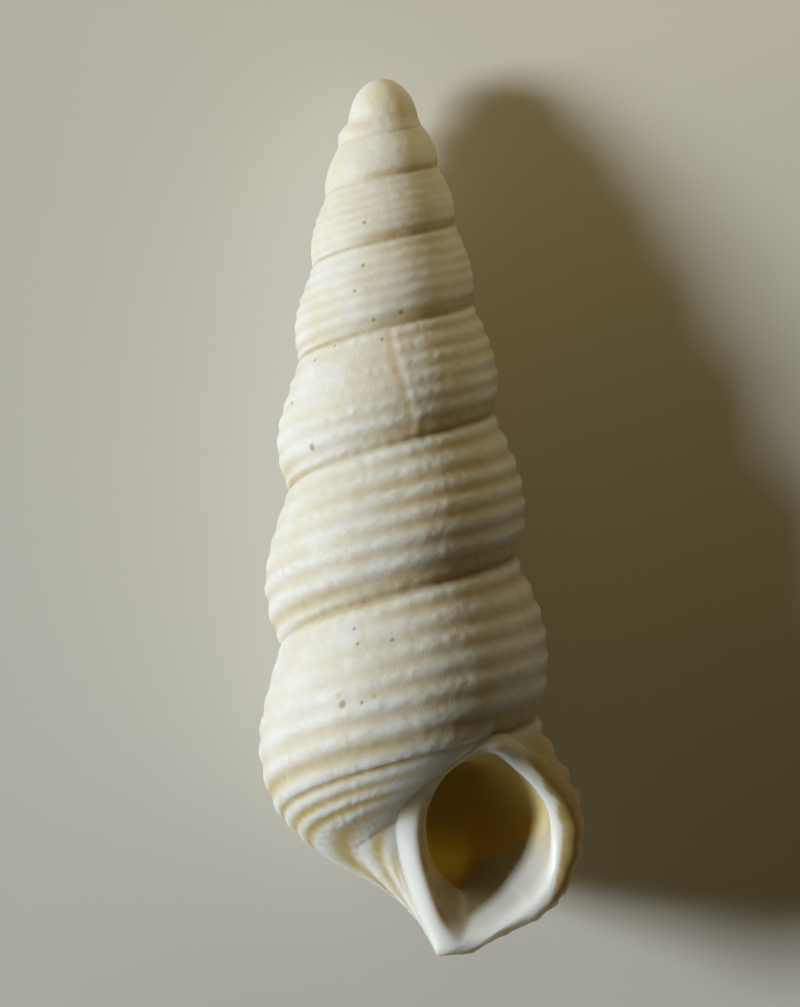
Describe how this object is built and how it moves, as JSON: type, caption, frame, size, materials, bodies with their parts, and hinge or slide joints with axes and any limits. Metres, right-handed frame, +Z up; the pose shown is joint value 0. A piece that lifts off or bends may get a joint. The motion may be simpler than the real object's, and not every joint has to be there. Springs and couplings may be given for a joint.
{
  "type": "turret snail shell",
  "caption": "Slender right-handed turret snail shell with rounded whorls, raised spiral cords, a flared outer lip and an open oval mouth, lying on its back.",
  "frame": {"origin": "middle of the bounding box's base, under the shell where it lies on its back", "axes": "+Y towards the tip of the spire, +X towards the outer lip's side, +Z up, the way the mouth faces"},
  "size_m": [0.0026, 0.007, 0.0023],
  "materials": {
    "shell": "chalky ivory with buff grooves between the cords, satin white lip and pillar"
  },
  "bodies": {
    "root": {"shell": "shell"}
  },
  "joints": []
}
